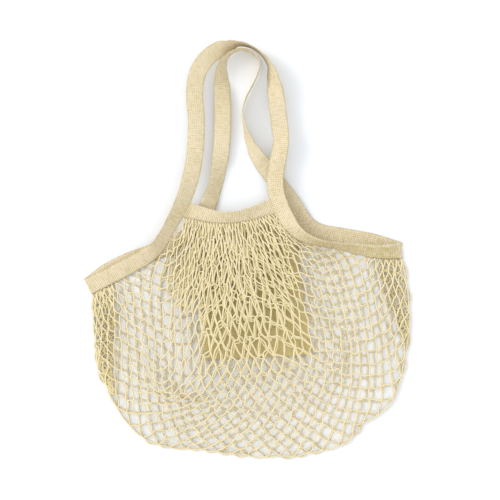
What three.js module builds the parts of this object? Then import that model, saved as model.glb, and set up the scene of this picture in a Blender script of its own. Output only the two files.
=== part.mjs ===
import * as THREE from 'three';

// A string shopping bag lying flat on its back, in millimetres.
// +X is to the right of the bag as it is seen from above, +Y runs towards the handles, +Z is up.
// The origin is on the surface it lies on, under the middle of its outline.

// Driving dimensions.
const bodyWidth = 489.6;
const bodyDrop = 365.7;
const handleRise = 258;
const handleSpan = 131;
const frontHandleShift = -29;
const backHandleShift = 4;
const tapeWidth = 25;
const tapeThickness = 1.6;
const bandSag = 12;
const bandTilt = 34;
const netThickness = 2;
const netLoft = 8;
const netBar = 8;
const loft = 16;
const panelWidth = 160;
const panelDrop = 197;
const panelThickness = 1;
const clearance = 0.3;

// How finely the curved pieces are cut into facets.
const stepsPerRow = 3;
const bandSteps = 18;
const panelSteps = 12;
const barSteps = 2;
const mouthSteps = 4;

// The tapes' routes from the left corner of the bag to the right one, a row for each bend.
// across: -1 and 1 are the feet of the handle, -2 and 2 the two sides of the body.
// along: 0 is the level of the bands, 1 the top of the handles, -1 the bottom of the net.
// roll: degrees that the outer edge is raised, 0 flat and 90 standing on edge.
// lift: how high the lower edge is carried, as a share of the loft.
const frontRoute = [
  // across, along, roll, lift
  [-1.949, -0.305, 0, 0.006],
  [-1.575, -0.227, 10, 0.075],
  [-1.383, -0.184, 22, 0.156],
  [-1.257, -0.142, 40, 0.188],
  [-1.171, -0.089, 45, 0.25],
  [-1.092, -0.03, 40, 0.375],
  [-1.027, 0.032, 32, 0.469],
  [-0.926, 0.118, 22, 0.625],
  [-0.807, 0.227, 8, 0.781],
  [-0.728, 0.366, 0, 0.844],
  [-0.708, 0.527, 0, 0.844],
  [-0.746, 0.688, 0, 0.844],
  [-0.667, 0.802, 3, 0.844],
  [-0.474, 0.877, 8, 0.812],
  [-0.225, 0.925, 22, 0.688],
  [0.034, 0.95, 60, 0.312],
  [0.283, 0.964, 84, 0.125],
  [0.531, 0.947, 90, 0.094],
  [0.757, 0.907, 88, 0.094],
  [0.927, 0.854, 78, 0.125],
  [1.006, 0.773, 50, 0.312],
  [1.027, 0.682, 18, 0.656],
  [1.043, 0.584, 4, 0.812],
  [1.057, 0.486, 6, 0.812],
  [1.066, 0.416, 24, 0.688],
  [1.056, 0.348, 18, 0.688],
  [1.037, 0.262, 5, 0.812],
  [1.025, 0.181, 12, 0.719],
  [1.032, 0.107, 18, 0.656],
  [1.066, 0.026, 18, 0.625],
  [1.112, -0.034, 22, 0.562],
  [1.173, -0.081, 40, 0.375],
  [1.258, -0.112, 55, 0.219],
  [1.365, -0.13, 66, 0.15],
  [1.487, -0.141, 63, 0.125],
  [1.605, -0.15, 48, 0.113],
  [1.724, -0.161, 40, 0.075],
  [1.833, -0.162, 28, 0.044],
  [1.926, -0.156, 4, 0.006],
];
const backRoute = [
  // across, along, roll, lift
  [-1.96, -0.303, 0, 0],
  [-1.811, -0.246, 0, 0],
  [-1.644, -0.203, 0, 0],
  [-1.492, -0.175, 0, 0],
  [-1.378, -0.155, 0, 0],
  [-1.263, -0.132, 0, 0],
  [-1.157, -0.101, 0, 0.037],
  [-1.071, -0.058, 0, 0.1],
  [-1.013, -0.007, 4, 0.138],
  [-0.927, 0.057, 14, 0.138],
  [-0.795, 0.14, 34, 0.094],
  [-0.713, 0.241, 26, 0.219],
  [-0.659, 0.34, 4, 0.469],
  [-0.627, 0.461, 0, 0.5],
  [-0.623, 0.6, 0, 0.5],
  [-0.629, 0.703, 14, 0.375],
  [-0.644, 0.783, 38, 0.188],
  [-0.616, 0.848, 62, 0.094],
  [-0.514, 0.896, 80, 0.062],
  [-0.356, 0.924, 88, 0.062],
  [-0.193, 0.935, 90, 0.062],
  [0, 0.924, 90, 0.062],
  [0.149, 0.899, 90, 0.062],
  [0.233, 0.856, 90, 0.062],
  [0.188, 0.799, 90, 0.062],
  [0.059, 0.724, 90, 0.062],
  [-0.086, 0.652, 90, 0.062],
  [-0.165, 0.58, 88, 0.062],
  [-0.122, 0.494, 80, 0.062],
  [-0.016, 0.407, 62, 0.094],
  [0.141, 0.33, 40, 0.125],
  [0.341, 0.262, 16, 0.156],
  [0.547, 0.194, 5, 0.156],
  [0.782, 0.118, 3, 0.15],
  [0.98, 0.046, 6, 0.144],
  [1.057, -0.017, 4, 0.113],
  [1.135, -0.06, 0, 0.044],
  [1.242, -0.085, 0, 0],
  [1.396, -0.098, 0, 0],
  [1.55, -0.111, 0, 0],
  [1.705, -0.126, 0, 0],
  [1.824, -0.145, 0, 0],
  [1.914, -0.158, 0, 0],
];

// Where the band's two ends are sewn to the straps: places along each route, in rows from 0.
const frontSeats = { leftLow: 5.4, leftHigh: 6.4, rightHigh: 28.3, rightLow: 29.2 };
const backSeats = { leftLow: 7.5, leftHigh: 8.5, rightHigh: 34.3, rightLow: 35.2 };

// The highest place of the arch's outer edge, as a share of the handle's rise.
const archTop = 0.978;

// The outline of the net from the left corner of the mouth round to the right one.
const outlineTable = [
  // share of half the width, share along the drop
  [-0.935, -0.406],
  [-0.935, -0.484],
  [-0.928, -0.566],
  [-0.881, -0.693],
  [-0.757, -0.839],
  [-0.634, -0.922],
  [-0.402, -0.968],
  [-0.13, -0.98],
  [0.146, -1],
  [0.364, -0.99],
  [0.556, -0.949],
  [0.691, -0.885],
  [0.829, -0.812],
  [0.939, -0.711],
  [0.966, -0.582],
  [1, -0.455],
  [0.979, -0.345],
];

// The net's lattice: columns of openings from side to side, and rows of knots down the drop.
const columns = 10;
const knotRows = [0, 0.08, 0.25, 0.42, 0.59, 0.77, 0.94, 1];
const gather = { leftRim: 0.2, rightRim: 0.75 };
const sides = { left: 0.06, right: 0.11 };
const swellPower = 0.35;

// The pocket panel: where its top is sewn along the mouth, and where its lower corners lie, as
// shares of its width from the middle of that seam, and of its drop.
const panelSeam = { from: 0.306, middle: 0.53, to: 0.81 };
const panelFoot = { left: -0.33, right: 0.67, rise: 0.04 };

const bandLevel = (bodyDrop - archTop * handleRise) / 2;
const halfBody = bodyWidth / 2;
const backTop = Math.max(tapeThickness, netThickness);

// Y of a share along: up the handle when it is positive, down the body when it is negative.
function levelAt(share) {
  return bandLevel + share * (share > 0 ? handleRise : bodyDrop);
}

// X of a share across, for a handle whose middle is shifted from the middle of the body.
function acrossAt(share, shift) {
  const foot = handleSpan / 2;
  if (share < -1) {
    return shift - foot + (share + 1) * (halfBody + shift - foot);
  }
  if (share > 1) {
    return shift + foot + (share - 1) * (halfBody - shift - foot);
  }
  return shift + share * foot;
}

// A tape's route: its middle line, how it is rolled, and how high its lower edge lies.
function makeRoute(table, shift, base) {
  const middle = table.map(([across, along]) => (
    new THREE.Vector3(acrossAt(across, shift), levelAt(along), 0)
  ));
  const rows = table.length - 1;
  const turn = (row) => {
    const k = Math.min(Math.floor(row), rows - 1);
    const share = THREE.MathUtils.smoothstep(row - k, 0, 1);
    const [, , rollHere, liftHere] = table[k];
    const [, , rollNext, liftNext] = table[k + 1];
    return {
      roll: THREE.MathUtils.degToRad(THREE.MathUtils.lerp(rollHere, rollNext, share)),
      low: base + THREE.MathUtils.lerp(liftHere, liftNext, share) * loft,
    };
  };
  return { rows, turn, plan: new THREE.CatmullRomCurve3(middle, false, 'centripetal') };
}

// One cross-section of a tape, at a row number that may lie between two rows.
function sectionAt(route, row) {
  const share = row / route.rows;
  const middle = route.plan.getPoint(share);
  const ahead = route.plan.getTangent(share);
  const { roll, low } = route.turn(row);
  const outward = new THREE.Vector3(-ahead.y, ahead.x, 0).normalize();
  const breadth = outward.clone().multiplyScalar(Math.cos(roll)).setZ(Math.sin(roll));
  const normal = outward.clone().multiplyScalar(-Math.sin(roll)).setZ(Math.cos(roll));
  const half = tapeWidth / 2;
  const rise = half * Math.abs(breadth.z) + (tapeThickness / 2) * Math.abs(normal.z);
  middle.setZ(low + rise);
  return {
    outer: middle.clone().addScaledVector(breadth, half),
    inner: middle.clone().addScaledVector(breadth, -half),
    normal,
    outward,
  };
}

// A closed mesh from a list of corners and a list of triangles.
function solid(points, triangles) {
  const geometry = new THREE.BufferGeometry();
  const positions = points.flatMap((point) => [point.x, point.y, point.z]);
  geometry.setAttribute('position', new THREE.Float32BufferAttribute(positions, 3));
  geometry.setIndex(triangles);
  geometry.computeVertexNormals();
  return geometry;
}

// A strip of cloth between two edges: each section has an outer and an inner edge and a normal.
function stripSolid(sections, thickness) {
  const points = [];
  const triangles = [];
  const quad = (a, b, c, d) => triangles.push(a, b, c, a, c, d);
  for (const { outer, inner, normal } of sections) {
    points.push(outer.clone().addScaledVector(normal, thickness / 2));
    points.push(inner.clone().addScaledVector(normal, thickness / 2));
    points.push(inner.clone().addScaledVector(normal, -thickness / 2));
    points.push(outer.clone().addScaledVector(normal, -thickness / 2));
  }
  for (let k = 0; k < sections.length - 1; k += 1) {
    for (let side = 0; side < 4; side += 1) {
      const next = (side + 1) % 4;
      quad(4 * k + side, 4 * k + next, 4 * k + 4 + next, 4 * k + 4 + side);
    }
  }
  const last = 4 * (sections.length - 1);
  quad(3, 2, 1, 0);
  quad(last, last + 1, last + 2, last + 3);
  return solid(points, triangles);
}

function tapeSolid(route) {
  const sections = [];
  for (let step = 0; step <= route.rows * stepsPerRow; step += 1) {
    sections.push(sectionAt(route, step / stepsPerRow));
  }
  return stripSolid(sections, tapeThickness);
}

// The band between the two straps: it hangs in a shallow smile, its upper edge tipped up.
function bandSections(route, seats, tilt) {
  const leftLow = sectionAt(route, seats.leftLow).inner;
  const leftHigh = sectionAt(route, seats.leftHigh).inner;
  const rightLow = sectionAt(route, seats.rightLow).inner;
  const rightHigh = sectionAt(route, seats.rightHigh).inner;
  const seam = 2 * clearance + tapeThickness / 2;
  const sections = [];
  for (let step = 0; step <= bandSteps; step += 1) {
    const share = step / bandSteps;
    const belly = Math.sin(Math.PI * share);
    const inset = new THREE.Vector3(seam * (1 - 2 * share), 0, 0);
    const low = leftLow.clone().lerp(rightLow, share).add(inset);
    const high = leftHigh.clone().lerp(rightHigh, share).add(inset);
    low.y -= bandSag * belly;
    high.y -= bandSag * belly;
    const angle = THREE.MathUtils.degToRad(tilt * belly);
    const rise = high.clone().sub(low).setZ(0);
    const length = rise.length();
    rise.normalize();
    const outer = low.clone().addScaledVector(rise, length * Math.cos(angle));
    outer.z = THREE.MathUtils.lerp(high.z, low.z, belly) + length * Math.sin(angle);
    const breadth = outer.clone().sub(low).normalize();
    const ahead = rightLow.clone().sub(leftLow).setZ(0).normalize();
    const normal = new THREE.Vector3().crossVectors(ahead, breadth).normalize();
    sections.push({ outer, inner: low, normal, outward: rise });
  }
  return sections;
}

// The net's upper edge: along the left rim, under the band, along the right rim.
function mouthCurve(route, seats, band) {
  const drop = 2 * clearance + tapeThickness / 2;
  const below = ({ inner, outward }) => inner.clone().addScaledVector(outward, -drop);
  const rim = (from, to, share) => below(sectionAt(route, THREE.MathUtils.lerp(from, to, share)));
  return (u) => {
    if (u <= gather.leftRim) {
      return rim(0, seats.leftLow, u / gather.leftRim);
    }
    if (u >= gather.rightRim) {
      return rim(seats.rightLow, route.rows, (u - gather.rightRim) / (1 - gather.rightRim));
    }
    const place = ((u - gather.leftRim) / (gather.rightRim - gather.leftRim)) * bandSteps;
    const k = Math.min(Math.floor(place), bandSteps - 1);
    return below(band[k]).lerp(below(band[k + 1]), place - k);
  };
}

// A layer of the net as a surface over u, from side to side, and v, from the mouth to the outline.
function netSurface(mouth, heightAt) {
  const corners = outlineTable.map(([side, along]) => (
    new THREE.Vector3(side * halfBody, levelAt(along), 0)
  ));
  const outline = new THREE.CatmullRomCurve3([mouth(0).setZ(0), ...corners, mouth(1).setZ(0)]);
  const bottom = (u) => outline.getPointAt(sides.left + u * (1 - sides.left - sides.right));
  const left = (v) => outline.getPointAt(v * sides.left);
  const right = (v) => outline.getPointAt(1 - v * sides.right);
  return (u, v) => {
    const top = mouth(u);
    const rimHeight = top.z;
    const point = top.setZ(0).multiplyScalar(1 - v).addScaledVector(bottom(u), v);
    point.addScaledVector(left(v), 1 - u).addScaledVector(right(v), u);
    point.addScaledVector(left(0), -(1 - u) * (1 - v)).addScaledVector(right(0), -u * (1 - v));
    point.addScaledVector(left(1), -(1 - u) * v).addScaledVector(right(1), -u * v);
    return point.setZ(heightAt(u, v, rimHeight));
  };
}

// A net layer cut through in a lattice of diamonds. Its bars are narrow where it is gathered.
// Knots lie where i + j is even, and a cell round each other place of the lattice.
function netSolid(surface) {
  const rows = knotRows.length - 1;
  const side = 2 * columns;
  const open = 1 - netBar / (bodyWidth / columns);
  const points = [];
  const triangles = [];
  const quad = (a, b, c, d) => triangles.push(a, b, c, a, c, d);
  const spot = (i, j) => {
    const k = Math.min(Math.floor(j), rows - 1);
    const v = THREE.MathUtils.lerp(knotRows[k], knotRows[k + 1], j - k);
    return surface(i / side, v);
  };
  // A bar between two knots, without its last place, in more steps where it leaves the mouth.
  const bar = ([i, j], [nextI, nextJ]) => {
    const steps = Math.min(j, nextJ) === 0 ? mouthSteps : barSteps;
    return Array.from({ length: steps }, (unused, step) => (
      spot(THREE.MathUtils.lerp(i, nextI, step / steps), THREE.MathUtils.lerp(j, nextJ, step / steps))
    ));
  };
  // A run of places goes in with its upper points first and its lower points after them.
  const addRun = (places) => {
    const start = points.length;
    for (const face of [0.5, -0.5]) {
      for (const place of places) {
        points.push(place.clone().setZ(place.z + face * netThickness));
      }
    }
    return start;
  };
  const diamond = (i, j) => {
    const knots = [[i, j - 1], [i - 1, j], [i, j + 1], [i + 1, j]];
    const outer = knots.flatMap((knot, k) => bar(knot, knots[(k + 1) % 4]));
    const centre = spot(i, j);
    const inner = outer.map((place) => place.clone().lerp(centre, 1 - open));
    const count = outer.length;
    const rim = addRun(outer);
    const gap = addRun(inner);
    for (let k = 0; k < count; k += 1) {
      const next = (k + 1) % count;
      quad(rim + k, rim + next, gap + next, gap + k);
      quad(rim + count + next, rim + count + k, gap + count + k, gap + count + next);
      quad(gap + k, gap + next, gap + count + next, gap + count + k);
    }
  };
  // A half cell at the edge is whole: the hem of the net, between its edge and its last two bars.
  const hem = (first, knot, last) => {
    const inner = [...bar(first, knot), ...bar(knot, last), spot(...last)];
    const count = inner.length;
    const edge = inner.map((unused, k) => {
      const share = k / (count - 1);
      return spot(
        THREE.MathUtils.lerp(first[0], last[0], share),
        THREE.MathUtils.lerp(first[1], last[1], share),
      );
    });
    const out = addRun(edge);
    const within = addRun(inner);
    for (let k = 0; k < count - 1; k += 1) {
      const next = k + 1;
      quad(out + k, out + next, within + next, within + k);
      quad(out + count + next, out + count + k, within + count + k, within + count + next);
      quad(out + next, out + k, out + count + k, out + count + next);
    }
  };
  const corner = (first, outside, last) => {
    const across = [spot(...first), spot(...outside), spot(...last)];
    const inner = [...bar(first, last), spot(...last)];
    const out = addRun(across);
    const within = addRun(inner);
    for (let k = 0; k < 2; k += 1) {
      quad(out + k, out + k + 1, within + k + 1, within + k);
      quad(out + 4 + k, out + 3 + k, within + 3 + k, within + 4 + k);
      quad(out + k + 1, out + k, out + 3 + k, out + 4 + k);
    }
  };
  for (let j = 1; j < rows; j += 1) {
    for (let i = 1; i < side; i += 1) {
      if ((i + j) % 2 === 1) {
        diamond(i, j);
      }
    }
  }
  for (let i = 1; i < side; i += 2) {
    hem([i + 1, 0], [i, 1], [i - 1, 0]);
  }
  const oddRows = rows % 2;
  for (let i = 1 + oddRows; i < side; i += 2) {
    hem([i - 1, rows], [i, rows - 1], [i + 1, rows]);
  }
  for (let j = 1; j < rows; j += 2) {
    hem([0, j - 1], [1, j], [0, j + 1]);
    hem([side, j + 1], [side - 1, j], [side, j - 1]);
  }
  if (oddRows) {
    corner([0, rows - 1], [0, rows], [1, rows]);
    corner([side - 1, rows], [side, rows], [side, rows - 1]);
  }
  return solid(points, triangles);
}

// The pocket panel: a plain sheet sewn under the mouth of the front, lying on the back of the bag.
function panelSolid(mouth) {
  const hung = (netThickness + panelThickness) / 2 + 2 * clearance;
  const rest = netThickness + clearance + panelThickness / 2;
  const lowest = levelAt(0) - bandSag - tapeWidth / 2 - panelDrop;
  const middle = mouth(panelSeam.middle).x;
  const bottomLeft = new THREE.Vector3(middle + panelFoot.left * panelWidth, lowest, 0);
  const bottomRight = new THREE.Vector3(
    middle + panelFoot.right * panelWidth,
    lowest + panelFoot.rise * panelDrop,
    0,
  );
  const place = (u, v) => {
    const top = mouth(THREE.MathUtils.lerp(panelSeam.from, panelSeam.to, u));
    const fall = (1 - v) ** 3;
    const height = rest + Math.max(top.z - hung - rest, 0) * fall;
    return top.lerp(bottomLeft.clone().lerp(bottomRight, u), v).setZ(height);
  };
  const points = [];
  const triangles = [];
  const size = panelSteps + 1;
  for (const side of [0.5, -0.5]) {
    for (let down = 0; down < size; down += 1) {
      for (let across = 0; across < size; across += 1) {
        const point = place(across / panelSteps, down / panelSteps);
        points.push(point.setZ(point.z + side * panelThickness));
      }
    }
  }
  const layer = size * size;
  const quad = (a, b, c, d) => triangles.push(a, b, c, a, c, d);
  for (let down = 0; down < panelSteps; down += 1) {
    for (let across = 0; across < panelSteps; across += 1) {
      const k = down * size + across;
      quad(k + size, k + size + 1, k + 1, k);
      quad(layer + k, layer + k + 1, layer + k + size + 1, layer + k + size);
    }
  }
  for (let k = 0; k < panelSteps; k += 1) {
    const lower = panelSteps * size;
    quad(k, k + 1, layer + k + 1, layer + k);
    quad(lower + k + 1, lower + k, layer + lower + k, layer + lower + k + 1);
    quad(k * size + size, k * size, layer + k * size, layer + k * size + size);
    const right = k * size + panelSteps;
    quad(right, right + size, layer + right + size, layer + right);
  }
  return solid(points, triangles);
}

const cotton = new THREE.Color(0xe9dcb4);
const bag = new THREE.Group();

function addPiece(name, geometry, shade) {
  const material = new THREE.MeshStandardMaterial({
    color: cotton.clone().multiplyScalar(shade),
    roughness: 0.9,
    metalness: 0,
  });
  const mesh = new THREE.Mesh(geometry, material);
  mesh.name = name;
  bag.add(mesh);
}

// The back lies flat on the surface. Each piece of the front lies a clearance above it.
const backRouteCurve = makeRoute(backRoute, backHandleShift, 0);
const frontRouteCurve = makeRoute(frontRoute, frontHandleShift, backTop + clearance);
const backBand = bandSections(backRouteCurve, backSeats, 0);
const frontBand = bandSections(frontRouteCurve, frontSeats, bandTilt);

const frontFoot = netThickness * 1.5 + clearance;
function frontHeight(u, v, rimHeight) {
  const rim = Math.max(rimHeight, frontFoot);
  const swell = (Math.sin(Math.PI * u) * Math.sin(Math.PI * v)) ** swellPower;
  return THREE.MathUtils.lerp(rim, frontFoot, v) + netLoft * swell;
}

const backSurface = netSurface(
  mouthCurve(backRouteCurve, backSeats, backBand),
  () => netThickness / 2,
);
const frontMouth = mouthCurve(frontRouteCurve, frontSeats, frontBand);
const frontSurface = netSurface(frontMouth, frontHeight);

addPiece('tape_back', tapeSolid(backRouteCurve), 0.94);
addPiece('band_back', stripSolid(backBand, tapeThickness), 0.94);
addPiece('net_back', netSolid(backSurface), 0.9);
addPiece('pocket_panel', panelSolid(frontMouth), 0.82);
addPiece('net_front', netSolid(frontSurface), 1);
addPiece('band_front', stripSolid(frontBand, tapeThickness), 1);
addPiece('tape_front', tapeSolid(frontRouteCurve), 1);

export default bag;
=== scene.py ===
# %% [markdown]
# # A string shopping bag, lying flat
#
# The bag is a net of twisted cotton string, gathered under a short band and sewn to two long tapes
# that make its rims and its handles. A plain woven panel hangs inside it. This script dresses the
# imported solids: it knots the net, weaves the ribs of the tapes and lays the panel behind the net.
# Everything is in metres, with +X to the right, +Y towards the handles and +Z up.

# %% Load the frame
import math

import bpy
import numpy as np
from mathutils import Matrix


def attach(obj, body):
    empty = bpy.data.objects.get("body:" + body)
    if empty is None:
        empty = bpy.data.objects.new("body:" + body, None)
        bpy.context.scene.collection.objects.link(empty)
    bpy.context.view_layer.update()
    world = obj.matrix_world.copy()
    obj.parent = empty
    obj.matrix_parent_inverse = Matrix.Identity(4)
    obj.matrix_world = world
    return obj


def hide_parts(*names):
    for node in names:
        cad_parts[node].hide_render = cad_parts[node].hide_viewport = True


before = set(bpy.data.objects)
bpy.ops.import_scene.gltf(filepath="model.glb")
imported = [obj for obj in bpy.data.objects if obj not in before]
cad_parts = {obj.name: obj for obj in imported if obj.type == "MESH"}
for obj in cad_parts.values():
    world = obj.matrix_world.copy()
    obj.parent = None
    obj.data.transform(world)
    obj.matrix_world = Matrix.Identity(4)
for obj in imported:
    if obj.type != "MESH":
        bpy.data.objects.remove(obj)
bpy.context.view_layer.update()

print("nodes:", sorted(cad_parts))

# %% [markdown]
# ## The camera
#
# The bag is seen from straight above. A long lens at a metre and a half keeps the perspective weak,
# as in a studio picture of a flat lay, and the small offset puts the bag where it lies in the frame.

# %% Camera
CAMERA_HEIGHT = 1.5
FRAME_CENTRE = (0.0042, -0.0003)

camera_data = bpy.data.cameras.new("camera")
camera_data.lens = 72
camera_data.sensor_width = 36
camera = bpy.data.objects.new("camera", camera_data)
camera.location = (*FRAME_CENTRE, CAMERA_HEIGHT)
bpy.context.collection.objects.link(camera)
bpy.context.scene.camera = camera

# %% [markdown]
# ## The sizes of the bag
#
# These are the sizes of the solids. The looks are worked out from them, so that each strand and
# rib lies where its solid lies.

# %% Sizes
BODY_WIDTH = 0.4896
BODY_DROP = 0.3657
HANDLE_RISE = 0.258
HANDLE_SPAN = 0.131
FRONT_SHIFT = -0.029
BACK_SHIFT = 0.004
TAPE_WIDTH = 0.025
TAPE_THICKNESS = 0.0016
BAND_SAG = 0.012
BAND_TILT = math.radians(34)
NET_THICKNESS = 0.002
NET_LOFT = 0.008
LOFT = 0.016
PANEL_WIDTH = 0.160
PANEL_DROP = 0.197
PANEL_THICKNESS = 0.001
CLEARANCE = 0.0003
ARCH_TOP = 0.978

HALF_BODY = BODY_WIDTH / 2
BAND_LEVEL = (BODY_DROP - ARCH_TOP * HANDLE_RISE) / 2


def level_at(share):
    """Y of a share along: up the handle when positive, down the body when negative."""
    return BAND_LEVEL + share * (HANDLE_RISE if share > 0 else BODY_DROP)


def across_at(share, shift):
    """X of a share across, for a handle whose middle is shifted from the body's."""
    foot = HANDLE_SPAN / 2
    if share < -1:
        return shift - foot + (share + 1) * (HALF_BODY + shift - foot)
    if share > 1:
        return shift + foot + (share - 1) * (HALF_BODY - shift - foot)
    return shift + share * foot


# %% [markdown]
# ## The routes of the two tapes
#
# Each row is a bend of the tape: its place across and along, how far its outer edge is rolled up,
# and how high its lower edge is carried, as a share of the loft.

# %% Routes
FRONT_ROUTE = [
    (-1.949, -0.305, 0, 0.006), (-1.575, -0.227, 10, 0.075), (-1.383, -0.184, 22, 0.156),
    (-1.257, -0.142, 40, 0.188), (-1.171, -0.089, 45, 0.25), (-1.092, -0.03, 40, 0.375),
    (-1.027, 0.032, 32, 0.469), (-0.926, 0.118, 22, 0.625), (-0.807, 0.227, 8, 0.781),
    (-0.728, 0.366, 0, 0.844), (-0.708, 0.527, 0, 0.844), (-0.746, 0.688, 0, 0.844),
    (-0.667, 0.802, 3, 0.844), (-0.474, 0.877, 8, 0.812), (-0.225, 0.925, 22, 0.688),
    (0.034, 0.95, 60, 0.312), (0.283, 0.964, 84, 0.125), (0.531, 0.947, 90, 0.094),
    (0.757, 0.907, 88, 0.094), (0.927, 0.854, 78, 0.125), (1.006, 0.773, 50, 0.312),
    (1.027, 0.682, 18, 0.656), (1.043, 0.584, 4, 0.812), (1.057, 0.486, 6, 0.812),
    (1.066, 0.416, 24, 0.688), (1.056, 0.348, 18, 0.688), (1.037, 0.262, 5, 0.812),
    (1.025, 0.181, 12, 0.719), (1.032, 0.107, 18, 0.656), (1.066, 0.026, 18, 0.625),
    (1.112, -0.034, 22, 0.562), (1.173, -0.081, 40, 0.375), (1.258, -0.112, 55, 0.219),
    (1.365, -0.13, 66, 0.15), (1.487, -0.141, 63, 0.125), (1.605, -0.15, 48, 0.113),
    (1.724, -0.161, 40, 0.075), (1.833, -0.162, 28, 0.044), (1.926, -0.156, 4, 0.006),
]
BACK_ROUTE = [
    (-1.96, -0.303, 0, 0), (-1.811, -0.246, 0, 0), (-1.644, -0.203, 0, 0),
    (-1.492, -0.175, 0, 0), (-1.378, -0.155, 0, 0), (-1.263, -0.132, 0, 0),
    (-1.157, -0.101, 0, 0.037), (-1.071, -0.058, 0, 0.1), (-1.013, -0.007, 4, 0.138),
    (-0.927, 0.057, 14, 0.138), (-0.795, 0.14, 34, 0.094), (-0.713, 0.241, 26, 0.219),
    (-0.659, 0.34, 4, 0.469), (-0.627, 0.461, 0, 0.5), (-0.623, 0.6, 0, 0.5),
    (-0.629, 0.703, 14, 0.375), (-0.644, 0.783, 38, 0.188), (-0.616, 0.848, 62, 0.094),
    (-0.514, 0.896, 80, 0.062), (-0.356, 0.924, 88, 0.062), (-0.193, 0.935, 90, 0.062),
    (0, 0.924, 90, 0.062), (0.149, 0.899, 90, 0.062), (0.233, 0.856, 90, 0.062),
    (0.188, 0.799, 90, 0.062), (0.059, 0.724, 90, 0.062), (-0.086, 0.652, 90, 0.062),
    (-0.165, 0.58, 88, 0.062), (-0.122, 0.494, 80, 0.062), (-0.016, 0.407, 62, 0.094),
    (0.141, 0.33, 40, 0.125), (0.341, 0.262, 16, 0.156), (0.547, 0.194, 5, 0.156),
    (0.782, 0.118, 3, 0.15), (0.98, 0.046, 6, 0.144), (1.057, -0.017, 4, 0.113),
    (1.135, -0.06, 0, 0.044), (1.242, -0.085, 0, 0), (1.396, -0.098, 0, 0),
    (1.55, -0.111, 0, 0), (1.705, -0.126, 0, 0), (1.824, -0.145, 0, 0),
    (1.914, -0.158, 0, 0),
]
FRONT_SEATS = {"left_low": 5.4, "left_high": 6.4, "right_high": 28.3, "right_low": 29.2}

# %% [markdown]
# A smooth line through the bends has no corners and doesn't overshoot where two bends lie close
# together. The centripetal form of the Catmull-Rom curve does both, and it is the one that the
# solids were made with, so both lie on the same line.


# %% A smooth line through points
def smooth_line(points, places):
    """Points of a centripetal Catmull-Rom curve at places 0 to len(points) - 1."""
    points = np.asarray(points, float)
    before = 2 * points[0] - points[1]
    after = 2 * points[-1] - points[-2]
    padded = np.vstack([before, points, after])
    places = np.clip(np.asarray(places, float), 0, len(points) - 1)
    first = np.minimum(places.astype(int), len(points) - 2)
    t = (places - first)[:, None]
    p0, p1, p2, p3 = (padded[first + k] for k in range(4))
    gaps = [np.sqrt(np.linalg.norm(b - a, axis=1))[:, None] for a, b in ((p0, p1), (p1, p2), (p2, p3))]
    d0, d1, d2 = (np.maximum(gap, 1e-9) for gap in gaps)
    m1 = ((p1 - p0) / d0 - (p2 - p0) / (d0 + d1) + (p2 - p1) / d1) * d1
    m2 = ((p2 - p1) / d1 - (p3 - p1) / (d1 + d2) + (p3 - p2) / d2) * d1
    c2 = -3 * p1 + 3 * p2 - 2 * m1 - m2
    c3 = 2 * p1 - 2 * p2 + m1 + m2
    return p1 + m1 * t + c2 * t**2 + c3 * t**3


UP = np.array([0, 0, 1.0])
IN_PLAN = np.array([1, 1, 0])


def run_lengths(points):
    """The length run so far at each point of a line."""
    steps = np.linalg.norm(np.diff(points, axis=0), axis=1)
    return np.concatenate([[0], np.cumsum(steps)])


def read_at(at, length, values):
    """Rows of values along a line, read at lengths run along it."""
    return np.stack([np.interp(at, length, column) for column in values.T], -1)


def spread(line, shares):
    """Points of a line at shares of its length."""
    length = run_lengths(line)
    return read_at(np.asarray(shares) * length[-1], length, line)


def unit(vectors):
    return vectors / np.maximum(np.linalg.norm(vectors, axis=-1, keepdims=True), 1e-12)


def turned_left(ahead):
    """Level directions, a quarter turn to the left of the given ones."""
    return np.column_stack([-ahead[:, 1], ahead[:, 0], np.zeros(len(ahead))])


# %% [markdown]
# A tape's section at any place of its route: the middle, the direction across the tape, and the
# direction that its face looks in.


# %% Sections of a tape
NUDGE = 1e-3
FACE = TAPE_THICKNESS / 2
FRONT_BASE = max(TAPE_THICKNESS, NET_THICKNESS) + CLEARANCE


def tape_sections(route, shift, base, places):
    """Middle, breadth and normal of a tape at places counted in rows of its route."""
    table = np.asarray(route, float)
    plan = np.array([(across_at(a, shift), level_at(b)) for a, b, _, _ in route])
    places = np.asarray(places, float)
    middle = smooth_line(plan, places)
    ahead = unit(smooth_line(plan, places + NUDGE) - smooth_line(plan, places - NUDGE))
    row = np.minimum(places.astype(int), len(route) - 2)
    share = places - row
    share = (share**2 * (3 - 2 * share))[:, None]
    roll, lift = (table[row, 2:] * (1 - share) + table[row + 1, 2:] * share).T
    cosine, sine = np.cos(np.radians(roll))[:, None], np.sin(np.radians(roll))[:, None]
    outward = turned_left(ahead)
    breadth = outward * cosine + UP * sine
    normal = UP * cosine - outward * sine
    rise = TAPE_WIDTH / 2 * abs(breadth[:, 2]) + FACE * abs(normal[:, 2])
    return np.column_stack([middle, base + LOFT * lift + rise]), breadth, normal


def front_tape(places):
    return tape_sections(FRONT_ROUTE, FRONT_SHIFT, FRONT_BASE, places)


def back_tape(places):
    return tape_sections(BACK_ROUTE, BACK_SHIFT, 0, places)


FRONT_END, BACK_END = len(FRONT_ROUTE) - 1, len(BACK_ROUTE) - 1
fine_front, fine_back = (np.linspace(0, end, 1500) for end in (FRONT_END, BACK_END))


# %% [markdown]
# ## Making meshes
#
# The net has tens of thousands of faces, so the meshes are filled from whole arrays at once. Each
# piece then rides on the bag's one body, stands for its solid and takes a finish from a slot.


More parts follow.
